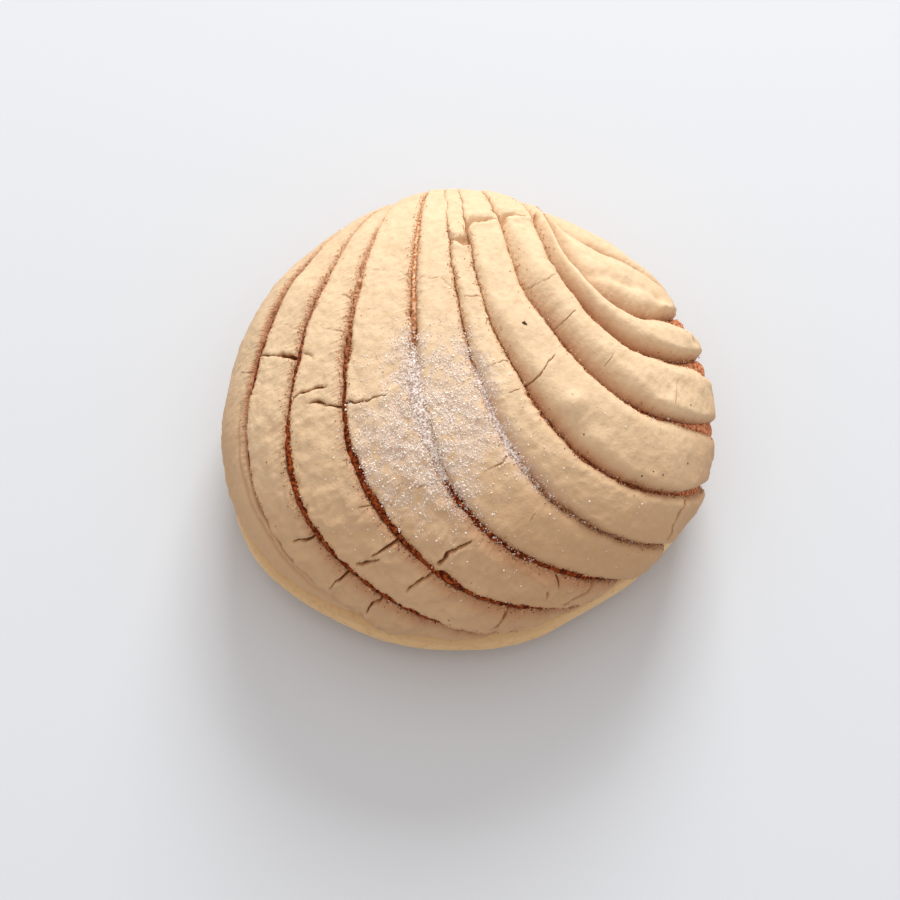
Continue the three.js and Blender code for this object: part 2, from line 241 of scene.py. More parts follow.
# Sockets of a node that mixes two colours.
FACTOR, FIRST, SECOND, MIXED = 0, 6, 7, 2


def yeast_crust():
    """Baked bread skin: golden, pitted and faintly satin on the side, dull red-brown crumbs in the cuts."""
    material, tree, surface, place = blank("yeast_crust")
    cut, crumb = (add(tree, "Attribute", attribute_name=name).outputs["Fac"] for name in ("cut", "crumb"))
    height = add(tree, "SeparateXYZ", {0: place}).outputs["Z"]
    blotch, pores, grain = (
        add(tree, "TexNoise", {"Vector": place, "Scale": 1 / (size * MM), "Detail": detail}).outputs["Fac"]
        for size, detail in ((9, 3), (1.6, 3), (0.7, 4))
    )
    brow = add(tree, "MapRange", {0: height, 1: 11 * MM, 2: 20 * MM, 3: 0.0, 4: 0.85}).outputs[0]
    foot = add(tree, "MapRange", {0: height, 1: 8 * MM, 2: 0.5 * MM}).outputs[0]
    pitted = add(tree, "MapRange", {0: pores, 1: 0.52, 2: 0.72, 3: 0.0, 4: 0.4}).outputs[0]
    peaks = add(tree, "MapRange", {0: crumb, 1: -0.6, 2: 0.8}).outputs[0]
    flecks = add(tree, "MapRange", {0: grain, 1: 0.5, 2: 0.8, 3: 0.0, 4: 0.4}).outputs[0]
    side, torn = linear("F2CE98"), linear("6E2A10")
    for share, code in ((blotch, "E2B47C"), (brow, "CC9C66"), (foot, "B67C46"), (pitted, "BE8A54")):
        layer = {FACTOR: share, FIRST: side, SECOND: linear(code)}
        side = add(tree, "Mix", layer, data_type="RGBA").outputs[MIXED]
    for share, code in ((peaks, "C87844"), (flecks, "6A280E")):
        layer = {FACTOR: share, FIRST: torn, SECOND: linear(code)}
        torn = add(tree, "Mix", layer, data_type="RGBA").outputs[MIXED]
    colour = add(tree, "Mix", {FACTOR: cut, FIRST: side, SECOND: torn}, data_type="RGBA")
    dents = add(tree, "Bump", {"Height": pores, "Strength": 0.5, "Distance": 0.35 * MM}, invert=True)
    bump = add(
        tree, "Bump", {"Height": grain, "Strength": 0.4, "Distance": 0.25 * MM, "Normal": dents.outputs[0]}
    )
    wire(tree, surface, {
        "Base Color": colour.outputs[MIXED],
        "Roughness": add(tree, "MapRange", {0: cut, 3: 0.5, 4: 0.85}).outputs[0],
        "Specular IOR Level": add(tree, "MapRange", {0: cut, 3: 0.5, 4: 0.08}).outputs[0],
        "Normal": bump.outputs[0],
        "IOR": 1.42,
    })
    return material


bun = loft("bun_crust", *bun_loops())
bun.data.materials.append(yeast_crust())
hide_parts("bun")
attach(bun, "root")


# Paste strips: a disc of sugar, fat and flour paste was laid on the dough and scored with a shell cutter.
# As the bun rose, the cuts opened, and the dry paste cracked across the strips and crumbled at their edges.
# It baked on to the dough, matt and creamy, and turned brown along the cuts. It is darker towards the rim,
# and painted shade darkens it towards the front and along the left cuts of the sloped strips.

# Cuts are curves on the flat disc, from the hinge of the shell to the far rim: hinge and far angle in
# degrees, lead and trail handle, opening in mm, how much more it opens at the far rim, the share that stays
# closed at the hinge, and the share from which it healed, or 2.
CUTS = [
    (106, 250, (-65, 0), (-56, -26), 1.5, 0, 0, 0.58),
    (101.5, 283, (-56, -10), (-42, -54), 1.5, 0, 0, 2),
    (98.5, 305, (-40, -3), (-29, -60), 1.5, 0, 0, 2),
    (96, 315, (-15, -7), (-17, -49), 1.2, 0, 0, 2),
    (93.5, 328, (-4, -2), (6, -45), 0.6, 0.4, 0.2, 2),
    (91, 344, (-1, 0), (22, -41), 0.5, 0.8, 0.2, 2),
    (88, 357, (13, 16), (21, -22), 0.5, 1.8, 0.1, 2),
    (80, 371, (24, 15), (25, -7), 0.5, 4.4, 0.06, 2),
    (75, 383, (25, 18), (29, 3), 0.5, 4.0, 0.04, 2),
    (68, 387, (8, 41), (52, 26), 0.6, 0, 0, 2),
]
# A cut is all but shut at the hinge and opens over a share of its length, slower where part of it stays
# closed. Where it healed, it lost most of its opening.
HINGE_GAP = 0.05
HINGE_RUN = 0.35
SLOW_RUN = 0.42
HINGE_FLUSH = 0.25
HEALING = 0.65
HEAL_RUN = 0.1
LINE_STEPS = 1201


def rim(angle):
    """Places of the disc's rim at angles in degrees, drawn in where the bare side reaches up."""
    turn = np.radians(angle)
    reach = PASTE_RIM - BARE_BAND * band(turn)
    return np.stack([reach * np.cos(turn), reach * np.sin(turn)], -1)


def cut_line(hinge, far, lead, trail):
    """A dense line of points along one cut."""
    s = np.linspace(0, 1, LINE_STEPS)[:, None]
    ends = (1 - s) ** 3 * rim(hinge) + s**3 * rim(far)
    return ends + 3 * (1 - s) ** 2 * s * np.array(lead) + 3 * (1 - s) * s**2 * np.array(trail)


def rim_line(start, end):
    """A dense line of points along the rim."""
    return rim(np.linspace(start, end, LINE_STEPS))


def healing(share, healed):
    """How far a cut has healed along its length, from 0 to 1."""
    return smooth(healed - HEAL_RUN, healed + HEAL_RUN, share)


def openness(share, closed, healed):
    """How far a cut is open along its length, from 0 where it stays closed to 1, and less where it healed."""
    run = SLOW_RUN if closed > 0 else HINGE_RUN
    return smooth(closed, closed + run, share) * (1 - HEALING * healing(share, healed))


cut_lines = [cut_line(*row[:4]) for row in CUTS]


class Side:
    """A side of a strip, read by the share of its length."""

    def __init__(self, *lines):
        self.points = np.concatenate(lines)
        steps = np.linalg.norm(np.diff(self.points, axis=0), axis=1)
        self.run = np.concatenate([[0], np.cumsum(steps)])
        self.length = self.run[-1]

    def at(self, share):
        run = share * self.length
        return np.stack([np.interp(run, self.run, self.points[:, i]) for i in (0, 1)], -1)


# Strips from the left, in mm: thickness, and at the root where that is less; height of the walls and radius
# of the edges, left and right; how far the end rounds off; the shares of its sides that it runs along. Some
# swell in front (plump), thin out to the tip from a share on (thins), slope down to the left (sloped), get
# slimmer at the far end (slims), get painted shade along the left edge, where it slopes away from the light,
# as (reach, strength), have a fold along the right edge (distance, depth), or need more columns for a crack
# that runs along them. Cracks are (depth, half width, places along and across as shares), from where each is
# widest; bumps are (place, reach, height).
STRIPS = [
    dict(
        thick=1.9, walls=(0.5, 1.2), edges=(4, 1.5), end=6, left=(0.05, 0.95), right=(0.05, 0.95),
        fold=(2.0, 0.6),
        cracks=[(1.0, 0.2, [(0.48, 1.0), (0.47, 0.72)])],
    ),
    dict(
        thick=2.0, walls=(1.3, 1.6), edges=(1.0, 1.3), end=4, left=(0, 0.97), right=(0, 0.99),
        plump=0.7, thins=0.82,
        cracks=[
            (1.9, 0.5, [(0.41, 1.0), (0.391, 0.56), (0.373, 0.0)]),
            (0.6, 0.15, [(0.369, 1.0), (0.34, 0.46)]),
            (1.7, 0.48, [(0.66, 1.0), (0.655, 0.78), (0.642, 0.37)]),
            (1.5, 0.42, [(0.728, 1.0), (0.723, 0.34)]),
            (1.7, 0.6, [(0.789, 1.0), (0.781, 0.76), (0.784, 0.39)]),
        ],
    ),
    dict(
        thick=2.1, walls=(1.3, 1.6), edges=(1.0, 1.3), end=4, left=(0, 0.97), right=(0, 0.99),
        plump=0.8, thins=0.84,
        cracks=[
            (1.6, 0.4, [(0.416, 0.1), (0.421, 0.44), (0.429, 0.72)]),
            (1.6, 0.4, [(0.465, 1.0), (0.445, 0.63), (0.436, 0.4)]),
            (0.5, 0.15, [(0.361, 0.08), (0.385, 0.47)]),
            (0.6, 0.15, [(0.363, 1.0), (0.348, 0.61), (0.324, 0.22)]),
            (0.5, 0.15, [(0.308, 1.0), (0.288, 0.61)]),
            (1.9, 0.6, [(0.657, 1.0), (0.654, 0.78), (0.646, 0.5)]),
            (1.8, 0.52, [(0.644, 0.18), (0.657, 0.54)]),
            (1.9, 0.6, [(0.721, 1.0), (0.713, 0.64), (0.711, 0.43)]),
            (0.6, 0.2, [(0.6, 1.0), (0.59, 0.83)]),
            (1.8, 0.65, [(0.839, 1.0), (0.841, 0.67), (0.839, 0.25)]),
        ],
    ),
    dict(
        thick=2.4, walls=(1.3, 1.6), edges=(1.0, 1.5), end=4, left=(0, 0.97), right=(0, 0.99),
        plump=0.6, thins=0.9,
        cracks=[
            (1.5, 0.38, [(0.444, 0.0), (0.458, 0.38), (0.465, 0.63)]),
            (0.4, 0.12, [(0.261, 0.21), (0.276, 0.64)]),
            (0.5, 0.15, [(0.296, 1.0), (0.276, 0.7)]),
            (1.9, 0.55, [(0.685, 0.14), (0.686, 0.44), (0.699, 0.75)]),
            (1.0, 0.3, [(0.835, 1.0), (0.85, 0.7)]),
            (0.6, 0.15, [(0.838, 0.5), (0.841, 0.3)]),
            (0.4, 0.15, [(0.576, 0.35), (0.604, 0.79), (0.61, 0.94)]),
            (1.8, 0.6, [(0.91, 1.0), (0.901, 0.6), (0.879, 0.2)]),
        ],
    ),
    dict(
        thick=3.0, root=3.0, walls=(0.7, 0.4), edges=(2.6, 3.4), end=2.4, left=(0, 1), right=(0, 0.98),
        cracks=[
            (0.5, 0.13, [(0.359, 1.0), (0.331, 0.69), (0.312, 0.19)]),
            (0.6, 0.18, [(0.641, 0.92), (0.639, 0.62)]),
            (0.4, 0.13, [(0.734, 0.56), (0.731, 0.72)]),
        ],
    ),
    dict(
        thick=3.3, root=3.1, walls=(0.6, 0.6), edges=(3.4, 3.2), end=2.4, left=(0, 0.98), right=(0, 1),
        sloped=0.5, left_shade=(1.4, 0.6), columns=60,
        cracks=[
            (1.8, 1.4, [(0.276, 0.97), (0.268, 0.05)]),
            (0.6, 0.15, [(0.379, 0.88), (0.378, 0.1)]),
            (0.6, 0.15, [(0.5, 0.92), (0.501, 0.28)]),
            (0.5, 0.15, [(0.55, 0.8), (0.549, 0.53)]),
            (1.6, 0.6, [(0.897, 0.94), (0.924, 0.47), (0.948, 0.15)]),
        ],
    ),
    dict(
        thick=3.9, root=3.2, walls=(0.4, 0.6), edges=(5.2, 3.6), end=2.4, left=(0, 1), right=(0, 0.98),
        sloped=0.8, slims=0.22, left_shade=(1.9, 0.75),
        cracks=[
            (2.0, 1.5, [(0.244, 0.0), (0.236, 0.27), (0.25, 0.9)]),
            (0.9, 0.2, [(0.545, 0.0), (0.554, 0.23), (0.559, 0.68)]),
        ],
        bumps=[((22, -8), 2.8, 1.4), ((26.5, -13), 2.6, -0.5)],
    ),
    dict(
        thick=4.5, root=3.3, walls=(0.3, 0.6), edges=(5.2, 3.8), end=2.4, left=(0, 0.97), right=(0, 0.98),
        sloped=1, slims=0.22, left_shade=(2.2, 0.75),
        cracks=[
            (2.0, 1.5, [(0.265, 0.0), (0.253, 0.1), (0.255, 0.7)]),
            (0.5, 0.15, [(0.428, 0.0), (0.441, 0.2), (0.456, 0.45), (0.452, 0.75)]),
            (0.8, 0.2, [(0.536, 0.0), (0.541, 0.15), (0.544, 0.6)]),
            (0.4, 0.13, [(0.656, 0.25), (0.656, 0.5)]),
            (0.5, 0.15, [(0.806, 0.22), (0.8, 0.66)]),
        ],
        bumps=[((54, 2), 2.0, 0.6), ((60, 6), 2.0, 0.6), ((47, 2), 1.5, 0.4), ((41, -3), 3.0, -0.4)],
    ),
    dict(
        thick=4.8, root=3.5, walls=(0.3, 0.5), edges=(5.2, 4), end=2.6, left=(0, 0.96), right=(0, 0.9),
        sloped=1, slims=0.22, left_shade=(2.4, 0.95),
        cracks=[(1.6, 1.2, [(0.262, 0.0), (0.24, 0.3)])],
        bumps=[((54.3, 16), 1.4, 0.4), ((55.7, 11.5), 1.8, 0.3), ((55, 14), 1.0, -0.6), ((50, 13), 2.0, 0.5)],
    ),
    dict(
        thick=4.2, root=3.3, walls=(0.3, 0.5), edges=(5.6, 4.5), end=2.6, left=(0, 0.91), right=(0, 0.905),
        sloped=1, slims=0.22, left_shade=(2.2, 0.7),
        cracks=[],
        bumps=[
            ((27.5, 25.6), 1.2, -0.8), ((30, 25.4), 1.2, -0.9), ((32.4, 25.2), 1.2, -1.0),
            ((34.4, 24.2), 1.2, -1.0), ((36.4, 23.4), 1.2, -1.0), ((38.6, 23.4), 1.2, -0.9),
            ((41.3, 23.8), 1.2, -0.7), ((36, 28), 4.0, 0.6), ((34, 20.5), 2.4, 0.6), ((46, 19.4), 1.5, 1.2),
            ((49.5, 20.3), 1.5, 1.1), ((45.5, 22.6), 1.4, -0.9), ((42.6, 18.4), 1.3, -0.8),
        ],
    ),
    dict(
        thick=4.0, root=3.4, walls=(0.8, 0.3), edges=(3, 6), end=4, left=(0.06, 0.95), right=(0.06, 0.95),
        cracks=[],
    ),
]
# The second to fourth strip end along the front rim, and on the first four the cutter combed the right edge.
FRONT_STRIPS = 3
COMBED_STRIPS = 4
TIP_THICK = 1.2
HINGE_END = 1.5
SUNK_LIFT = -0.4
BED_LIFT = SUNK_LIFT - 0.1
# Stretches of a strip, as shares of its length, over which it changes.
ROOT_RUN = (0.05, 0.35)
PLUMP_RUN = (0.45, 0.7)
ROLL_RUN = (0.55, 0.8)
SHOULDER_RUN = (0.65, 0.85)
SLIM_RUN = (0.75, 0.98)
NOTCH_RUN = (0.82, 0.98)
SEAM_RUN = (0.02, 0.08)
FOLD_RUNS = [(0.46, 0.6), (0.86, 0.97)]
FOLD_WIDTH = 0.55
# Painted shade in the crease of the first strip's fold, as a strength.
FOLD_SHADE = 0.3
# Browning along an edge where the strip gives no painted shade of its own, and along a closed seam, as (reach
# in mm, strength).
EDGE_BROWN = (0.8, 0.5)
SEAM_BROWN = (0.45, 0.35)
# Darkening of the paste, from and to in mm: towards the front, which is painted shade on the side turned from
# the light, and from the crown towards the rim.
FRONT_SHADE = (0, -42)
RIM_DARKENING = (44, 66)
THIN_SOFTENING = 3
ROLL_SOFTENING = 2.4
RAGGED_END = 6
# Relief of the edges, the closed seams, the baked paste and the paste under sugar.
EDGE_RAGS = [(0.38, 4.2, 0), (0.2, 1.2, 0), (0.14, 0.6, 0)]
SEAM_JAGS = [(0.4, 2.4, 91), (0.25, 0.9, 92)]
PASTE_GRAIN = [(0.13, 2.4, 7), (0.07, 1.0, 8)]
SUGARED_GRAIN = [(0.16, 1.4, 15), (0.1, 0.8, 16)]
CRACK_WANDER = [(0.4, 1.9, 0), (0.2, 0.8, 1)]
COMB_REACH = 1.8
COMB_PITCH = 0.55
HAIRS_PER_MM = 1.8
CRUMBLING_REACH = 0.35
FINE_STEPS = 6001
STATION_PITCH = 0.36
CRACK_PITCH = 0.15
CRACK_MARGIN = 1.2
CRACK_FLOOR = 0.3
ACROSS_COUNT = 38
EDGE_CROWDING = 0.75
BED_COUNT = 5
# Strewn sugar: grains for each mm2 at most, middle and reach on the disc. Sugar along cuts: cut, most, reach.
# Left of the cut that bounds it there is little.
SUGAR_SPREADS = [
    (11.0, (-14, -20), (9.5, 10.5)),
    (11.0, (-2, -13), (7, 12)),
    (5.0, (-9, 0), (8, 8)),
    (0.4, (-4, -20), (26, 24)),
]
SUGARED_CUTS = [(3, 14.0, 3.2), (4, 10.0, 2.2)]
SUGARED_BACK = (12, 2)
SUGARED_FRONT = (-38, -22)
SUGAR_BOUND = 2
SUGAR_CLUMPS = [(0.7, 2.2, 9), (0.6, 0.9, 10)]
SUGAR_FULL = 6


def rounded(distance, radius, sloped=0):
    """Rise of an edge at a distance from it, from 0 at the edge to 1 on the flat, round or more sloped."""
    near = np.clip(distance / radius, 0, 1)
    return (1 - sloped) * np.sqrt(1 - (1 - near) ** 2) + sloped * np.sin(np.pi / 2 * near)


def station_runs(length, cracks):
    """Distances along a strip at which it gets a section, closer together over its cracks."""
    fine = np.linspace(0, length, FINE_STEPS)
    pitch = np.full(fine.shape, STATION_PITCH)
    for depth, half, places in cracks:
        along = [share * length for share, across in places]
        pitch[(fine > min(along) - CRACK_MARGIN) & (fine < max(along) + CRACK_MARGIN)] = CRACK_PITCH
    count = np.cumsum(1 / pitch) * (fine[1] - fine[0])
    runs = np.interp(np.arange(0, count[-1], 1), count, fine)
    return np.concatenate([[0], runs, [length]])


def right_of(index, flat):
    """How far places of the flat disc lie to the right of a cut."""
    line = cut_lines[index][: cut_lines[index][:, 1].argmin()][::-1]
    return flat[..., 0] - np.interp(flat[..., 1], line[:, 1], line[:, 0])


def sugar_strewn(flat):
    """Sugar grains for each mm2 of the flat disc, thickest left of the middle."""
    spread = sum(
        most * np.exp(-(((flat - middle) / reach) ** 2).sum(axis=-1)) for most, middle, reach in SUGAR_SPREADS
    )
    window = smooth(*SUGARED_BACK, flat[..., 1]) * smooth(*SUGARED_FRONT, flat[..., 1])
    for index, most, reach in SUGARED_CUTS:
        spread = spread + most * np.exp(-((right_of(index, flat) / reach) ** 2)) * window
    spread = spread * (0.2 + 0.8 * smooth(-2, 1, right_of(SUGAR_BOUND, flat)))
    return spread * smooth(-0.9, 0.7, relief(flat, SUGAR_CLUMPS))


class Strip:
    """One strip of paste between two cuts, as rows of points across it from the hinge to the far rim."""

    def __init__(self, number, left, right, cuts):
        self.number, self.form, self.cuts = number, STRIPS[number], cuts
        self.seed = 20 + 10 * number
        self.combed = number < COMBED_STRIPS
        self.length = (left.length + right.length) / 2
        self.run = station_runs(self.length, self.form["cracks"])
        self.share = self.run / self.length
        evenly = np.linspace(0, 1, self.form.get("columns", ACROSS_COUNT))
        self.across = evenly - EDGE_CROWDING * np.sin(2 * np.pi * evenly) / (2 * np.pi)
        self.opened = [openness(self.share, closed, healed) for opening, notch, closed, healed in cuts]
        self.lay_out(left, right)
        self.strewn = np.clip(sugar_strewn(self.flat) / SUGAR_FULL, 0, 1)
        self.build_up()

    def lay_out(self, left, right):
        """Places on the flat disc, set back from the middle of the cuts along ragged or jagged edges."""
        form, share = self.form, self.share
        lines = [
            side.at(start + (end - start) * share)
            for side, (start, end) in ((left, form["left"]), (right, form["right"]))
        ]
        way = lines[1] - lines[0]
        way /= np.linalg.norm(way, axis=1, keepdims=True)
        asides = []
        for side, (opening, notch, closed, healed) in enumerate(self.cuts):
            wide = self.opened[side]
            gap = min(HINGE_GAP, opening) * (1 - wide) + opening * wide + notch * smooth(*NOTCH_RUN, share)
            rags = (1 if self.combed else 0.75) * relief(lines[side], EDGE_RAGS, self.seed + side)
            jags = relief(lines[side], SEAM_JAGS) * (closed > 0) * (1, -1)[side]
            asides.append((gap / 2 + rags * wide + jags * (1 - wide))[:, None])
        start, end = lines[0] + way * asides[0], lines[1] - way * asides[1]
        self.width = np.linalg.norm(end - start, axis=1)
        ahead = np.gradient((start + end) / 2, axis=0)
        ahead /= np.maximum(np.linalg.norm(ahead, axis=1, keepdims=True), 1e-9)
        flat = start[:, None] + (end - start)[:, None] * self.across[None, :, None]
        at_end = smooth(self.length - RAGGED_END, self.length, self.run)[:, None]
        self.flat = flat + ahead[:, None] * (lumps(flat, 4.5, self.seed + 4) * at_end)[..., None]
        self.from_left = self.across * self.width[:, None]
        self.from_right = self.width[:, None] - self.from_left

    def round_edges(self):
        """Rise of the rounded edges and ends, from 0 to 1, and the height of the strip that they give."""
        form, share = self.form, self.share
        thins = form.get("thins", 1)
        remaining = np.where(share <= thins, 1, (1 - share) / max(1 - thins, 1e-6))
        root = form.get("root", form["thick"])
        full = root + (form["thick"] - root) * smooth(*ROOT_RUN, share)
        full = full + form.get("plump", 0) * smooth(*PLUMP_RUN, share)
        full = full * (1 - form.get("slims", 0) * smooth(*SLIM_RUN, share))
        thick = (TIP_THICK + (full - TIP_THICK) * remaining)[:, None]
        self.thin = (1 - remaining)[:, None]
        self.rolled = (smooth(*ROLL_RUN, share) * ("plump" in form))[:, None]
        to_end = self.length - self.run
        ends = np.minimum(rounded(self.run, HINGE_END), rounded(to_end, form["end"]))[:, None]
        rises, lifts = [], []
        for side, away in enumerate((self.from_left, self.from_right)):
            wide = self.opened[side][:, None]
            softening = (THIN_SOFTENING * self.thin, ROLL_SOFTENING * self.rolled)[side]
            radius = form["edges"][side] * (0.2 + 0.8 * wide) + softening
            sloped = form.get("sloped", 0) if side == 0 else 0
            if sloped:
                radius = radius * (1 - 0.45 * smooth(*SHOULDER_RUN, share))[:, None]
                radius = np.minimum(radius, 0.5 * self.width[:, None])
            wall = form["walls"][side] * (1 - 0.8 * self.thin)
            wall = wall + np.maximum(thick - HINGE_FLUSH - wall, 0) * (1 - wide)
            rises.append(rounded(away, radius, sloped) * ends)
            lifts.append(wall * np.sqrt(ends) + np.maximum(thick - wall, 0) * rises[-1])
        return np.minimum(*rises), np.minimum(*lifts)

    def swellings(self):
        """Relief of the baked paste, broad and small, which is stronger in front and under the sugar."""
        flat, seed, front = self.flat, self.seed, self.flat[..., 1]
        broad = 0.38 * lumps(flat, 13, seed + 5) + 0.22 * lumps(flat, 5, seed + 6) * (1 + 0.9 * self.rolled)
        small = relief(flat, PASTE_GRAIN, seed)
        if 0 < self.number <= FRONT_STRIPS:
            small = small * (1.1 + smooth(18, -8, front) + 1.6 * smooth(-14, -36, front))
        else:
            small = small * (1 + 0.5 * smooth(16, -8, front))
        return broad + (small + self.strewn * relief(flat, SUGARED_GRAIN, seed))

    def build_up(self):
        """Height of the top above the bun's skin: rounded edges, relief, creases, bumps, fold and cracks."""
        form, share, flat = self.form, self.share, self.flat
        rise, lift = self.round_edges()
        run = np.broadcast_to(self.run[:, None], lift.shape)
        creases = 0.16 * lumps(np.stack([run / COMB_PITCH, self.from_right / 3.5], -1), 1, self.seed + 9)
        creases = creases * np.exp(-self.from_right / COMB_REACH) * self.combed
        lift = lift + rise * self.swellings() + creases * rise
        for middle, reach, height in form.get("bumps", []):
            lift = lift + rise * height * np.exp(-((np.linalg.norm(flat - middle, axis=-1) / reach) ** 2))
        self.folded = np.zeros(lift.shape)
        if "fold" in form:
            distance, depth = form["fold"]
            folding = smooth(*FOLD_RUNS[0], share) * (1 - smooth(*FOLD_RUNS[1], share))
            self.folded = folding[:, None] * np.exp(-(((self.from_right - distance) / FOLD_WIDTH) ** 2))
            lift = lift - rise * depth * self.folded
        depth, lips, self.dark = self.cracks()
        lift = np.maximum(lift + lips * rise - depth, np.minimum(lift, CRACK_FLOOR))
        lift[[0, -1]] = lift[:, [0, -1]] = SUNK_LIFT
        self.lift = lift

    def cracks(self):
        """Depth of the cracks over the strip, height of their raised lips, and how dark they are."""
        flat, seed = self.flat, self.seed + 11
        spell = np.clip(1 + 0.55 * lumps(flat, 1.2, seed + 2), 0.5, 1.6)
        along = self.run[:, None] + relief(flat, CRACK_WANDER, seed)
        depth_all, lip_all, dark_all = np.zeros((3, *along.shape))
        for depth, half, places in self.form["cracks"]:
            width = np.interp(places[0][0] * self.length, self.run, self.width)
            corners = [np.array([share * self.length, part * width]) for share, part in places]
            place = np.stack([along, np.broadcast_to(self.across, along.shape) * width], -1)
            nearest = np.full(along.shape, np.inf)
            where = np.zeros(along.shape)
            for i, (start, end) in enumerate(zip(corners, corners[1:])):
                way = end - start
                share = np.clip((place - start) @ way / (way @ way), 0, 1)
                away = np.linalg.norm(place - start - share[..., None] * way, axis=-1)
                closer = away < nearest
                nearest = np.where(closer, away, nearest)
                where = np.where(closer, (i + share) / (len(corners) - 1), where)
            gape = np.clip(1 - nearest / (half * spell * (1 - 0.65 * where)), 0, 1) ** 0.7
            lip = 0.32 * half * np.exp(-(((nearest - half - 0.6) / 0.8) ** 2))
            depth_all = np.maximum(depth_all, depth * gape)
            lip_all = np.maximum(lip_all, lip)
            dark_all = np.maximum(dark_all, gape * min(1, 0.5 / half, depth))
        return depth_all, lip_all, dark_all

    def browning_and_shade(self):
        """How brown the paste is along its left and right cuts and its closed seam; along the left cuts of
        the sloped strips, and in the fold, it is painted shade.
        """
        form, share, number = self.form, self.share, self.number
        left_open, right_open = (wide[:, None] for wide in self.opened)
        # On the sloped strips the left edge gets painted shade, where the slope turns from the light.
        reach, strength = form.get("left_shade", EDGE_BROWN)
        if "sloped" in form:
            reach = reach * np.minimum(1, self.width / 10) * (1 - 0.5 * smooth(*SHOULDER_RUN, share))
            reach = reach[:, None]
        if not self.combed:
            strength = strength * (0.1 + 0.9 * smooth(0.34, 0.6, share) - 0.35 * smooth(0.8, 0.95, share))
            strength = strength[:, None]
        left = strength * np.exp(-((self.from_left / reach) ** 2)) * left_open * (number > 0)
        strength = (0.8 if number == 0 else 0.3 if self.combed else 0.25) + 0.3 * self.rolled
        right = strength * np.exp(-((self.from_right / (0.9 + 1.4 * self.rolled)) ** 2)) * right_open
        seam = SEAM_BROWN[1] * np.exp(-((self.from_left / SEAM_BROWN[0]) ** 2)) * (1 - left_open)
        seam = seam * (number > COMBED_STRIPS) * smooth(*SEAM_RUN, share)[:, None]
        return np.maximum.reduce([left, right, seam, FOLD_SHADE * self.folded])

    def marks(self):
        """What the material needs to know at each point, with nothing on the sunk bed."""
        left_open, right_open = (wide[:, None] for wide in self.opened)
        aside, front = self.flat[..., 0], self.flat[..., 1]
        # Painted shade towards the front, on the side turned from the light, and darker from the crown
        # towards the rim, most in front.
        front_shade_and_rim = np.maximum(
            smooth(*FRONT_SHADE, front) * (0.8 + 0.2 * smooth(-5, 15, aside)),
            smooth(*RIM_DARKENING, np.linalg.norm(self.flat, axis=-1)) * (0.35 + 0.65 * smooth(8, -12, front)),
        )
        feather = np.exp(-self.from_left / 4) if self.number == 0 else self.thin * np.exp(-self.from_left / 3)
        edge = self.browning_and_shade()
        walled = np.where(self.across < 0.5, left_open * (self.number > 0), right_open)
        found = {
            "front_shade_and_rim": front_shade_and_rim,
            "feather": feather,
            "edge": edge,
            "foot": smooth(1.3, 0.5, self.lift) * (1 - feather) * (walled**2 if self.combed else edge),
            "crack": self.dark,
            "dust": self.strewn,
            "comb": np.exp(-self.from_right / COMB_REACH) * right_open * (1 - 0.45 * front_shade_and_rim) * self.combed,
            "along": np.broadcast_to(self.run[:, None], self.lift.shape),
        }
        bed = np.zeros((len(self.run), BED_COUNT))
        return {name: np.concatenate([bed, values[:, ::-1]], axis=1) for name, values in found.items()}

    def loops(self):
        """Rings of the strip's skin, each along its sunk bed and back over its top."""
        start, end = self.flat[:, :1], self.flat[:, -1:]
        bed = start + (end - start) * np.linspace(0, 1, BED_COUNT)[None, :, None]
        bed = drape(bed, np.full(bed.shape[:2], BED_LIFT))
        return np.concatenate([bed, drape(self.flat, self.lift)[:, ::-1]], axis=1)

    def top(self):
        """Points of the top as rows of place, lift, area, and crumbs shed at the left and right edge."""
        share, front = self.share, self.flat[..., 1]
        area = np.gradient(self.run)[:, None] * np.gradient(self.across)[None, :] * self.width[:, None]
        shed_all = []
        for side, (opening, notch, closed, healed) in enumerate(self.cuts):
            away = (self.from_left, self.from_right)[side]
            shed = np.maximum(self.opened[side], 0.5 * smooth(0.19, 0.27, share) * (closed > 0.1))
            shed = shed * (1 - healing(share, healed))
            more = 0.8 * smooth(-6, 14, front)
            if self.number - 1 + side < FRONT_STRIPS:
                shed = shed * (0.15 + 0.85 * smooth(0.1, 0.34, share))
                more = 0
            shed_all.append(area * shed[:, None] * np.exp(-away / CRUMBLING_REACH) * (1 + more))
        points = np.concatenate([self.flat, np.stack([self.lift, area, *shed_all], -1)], -1)
        return points[2:-2, 1:-1].reshape(-1, 6)


